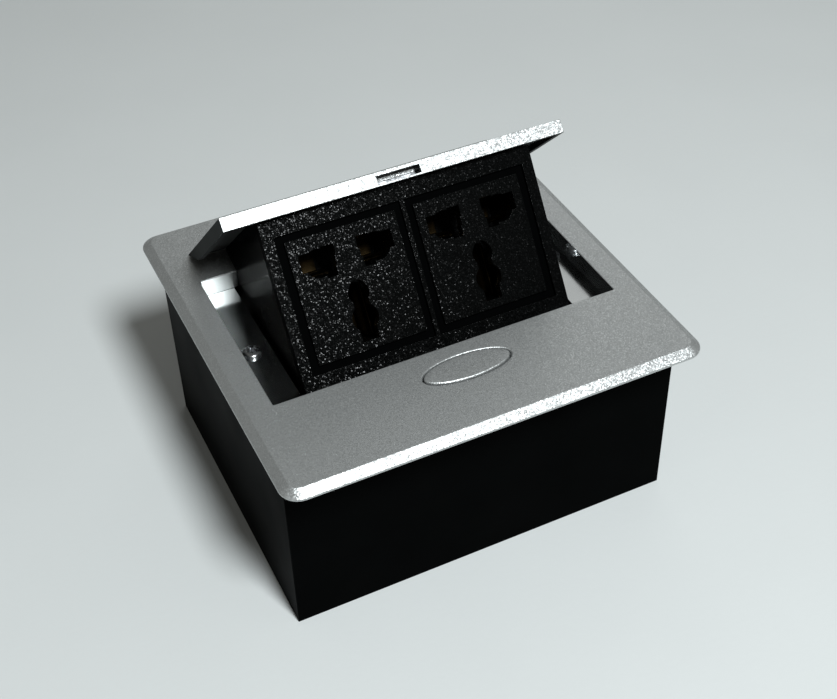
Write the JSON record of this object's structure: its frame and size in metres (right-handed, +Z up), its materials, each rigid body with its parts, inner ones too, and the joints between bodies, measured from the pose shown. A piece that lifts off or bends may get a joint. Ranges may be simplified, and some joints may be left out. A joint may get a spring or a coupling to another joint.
{
  "type": "flip-up desk power box",
  "caption": "Recessed desk power box: a sprung flip-up module with two multi-standard sockets swings out of a square plate over a steel case, released by an oval button.",
  "frame": {"origin": "centre of the top plate in plan, at the level of the case's flat underside", "axes": "+Z up; +Y to the rear, where the flip module is hinged; +X to the right, along the row of sockets"},
  "size_m": [0.133, 0.13, 0.1088],
  "materials": {
    "plate": "sandblasted silver",
    "button": "sandblasted silver",
    "case": "satin black",
    "zinc_steel": "zinc plated",
    "housing": "semi-gloss black",
    "face": "spark-textured black",
    "insulator": "dull black",
    "nylon": "natural",
    "rubber": "matte",
    "brass": "bright"
  },
  "bodies": {
    "case": {"top_frame": "plate", "case_shell": "case", "bracket_left": "zinc_steel", "bracket_right": "zinc_steel", "bracket_screws": "zinc_steel", "frame_screws": "zinc_steel", "hinge_pins": "zinc_steel", "stop_bumpers": "rubber", "cable_grommet": "rubber", "earth_screw": "brass", "latch_housing": "insulator", "latch_housing_screws": "zinc_steel", "latch_springs": "zinc_steel", "button_spring": "zinc_steel"},
    "button": {"button": "button"},
    "latch": {"latch_slider": "zinc_steel"},
    "module": {"lid": "plate", "strike_plate": "zinc_steel", "lid_screws": "zinc_steel", "module_housing": "housing", "rear_cover": "housing", "rear_cover_screws": "zinc_steel", "hinge_bushes": "nylon", "torsion_springs": "zinc_steel", "face_frame": "face", "socket_left": "face", "socket_right": "face", "socket_back_left": "insulator", "socket_back_right": "insulator", "live_contact_left": "brass", "live_contact_right": "brass", "neutral_contact_left": "brass", "neutral_contact_right": "brass", "earth_contact_left": "brass", "earth_contact_right": "brass", "busbar_live": "brass", "busbar_neutral": "brass", "busbar_earth": "brass", "terminal_screws": "zinc_steel"}
  },
  "joints": [
    {"name": "flip", "type": "hinge", "parent": "case", "child": "module", "pos_m": [0, 0.0396, 0.0462], "axis": [1, 0, 0], "range_deg": [0, 44.5], "stiffness_Nm_per_rad": 0.15, "springref_deg": -114.59},
    {"name": "button_press", "type": "slide", "parent": "case", "child": "button", "axis": [0, 0, -1], "range_m": [0, 0.002], "stiffness_N_per_m": 1200, "springref_m": -0.0008, "deforming": ["button_spring"]},
    {"name": "latch_slide", "type": "slide", "parent": "case", "child": "latch", "axis": [0, -1, 0], "range_m": [0, 0.002]}
  ],
  "couplings": [
    {"joint": "latch_slide", "follows": "button_press", "ratio": 1}
  ]
}
